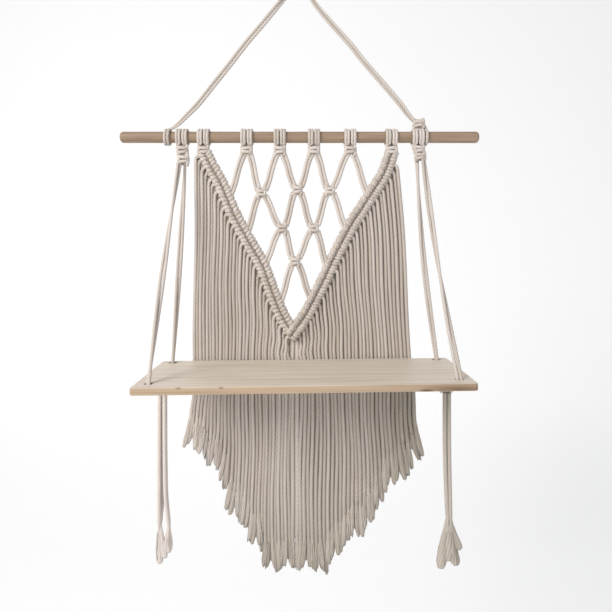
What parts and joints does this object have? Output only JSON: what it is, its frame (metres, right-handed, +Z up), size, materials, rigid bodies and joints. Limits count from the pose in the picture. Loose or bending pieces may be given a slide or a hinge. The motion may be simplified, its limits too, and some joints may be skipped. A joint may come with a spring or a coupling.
{
  "type": "macrame wall shelf with a dowel and a board",
  "caption": "Knotted cotton macrame panel on a wooden dowel, with an open diamond net, a V of hitched bars and a long pointed fringe, carrying a small board on rope slings.",
  "frame": {"origin": "top of the hanging cord, where the wall hook holds it, in the plane of the dowel's axis", "axes": "+X along the dowel to the viewer's right, +Y towards the wall, +Z up"},
  "size_m": [0.51, 0.1692, 0.8391],
  "materials": {
    "cotton_cord": "matte twisted cotton",
    "dowel_wood": "bare tan wood",
    "board_wood": "bare pale wood, lengthwise grain"
  },
  "bodies": {
    "root": {"dowel": "dowel_wood", "shelf_board": "board_wood", "hanging_cord": "cotton_cord", "macrame_panel": "cotton_cord", "fringe_left": "cotton_cord", "fringe_right": "cotton_cord", "support_left": "cotton_cord", "support_right": "cotton_cord", "rope_left_front": "cotton_cord", "rope_left_rear": "cotton_cord", "rope_right_front": "cotton_cord", "rope_right_rear": "cotton_cord", "sling_left": "cotton_cord", "sling_right": "cotton_cord", "tail_left": "cotton_cord", "tail_right": "cotton_cord"}
  },
  "joints": []
}
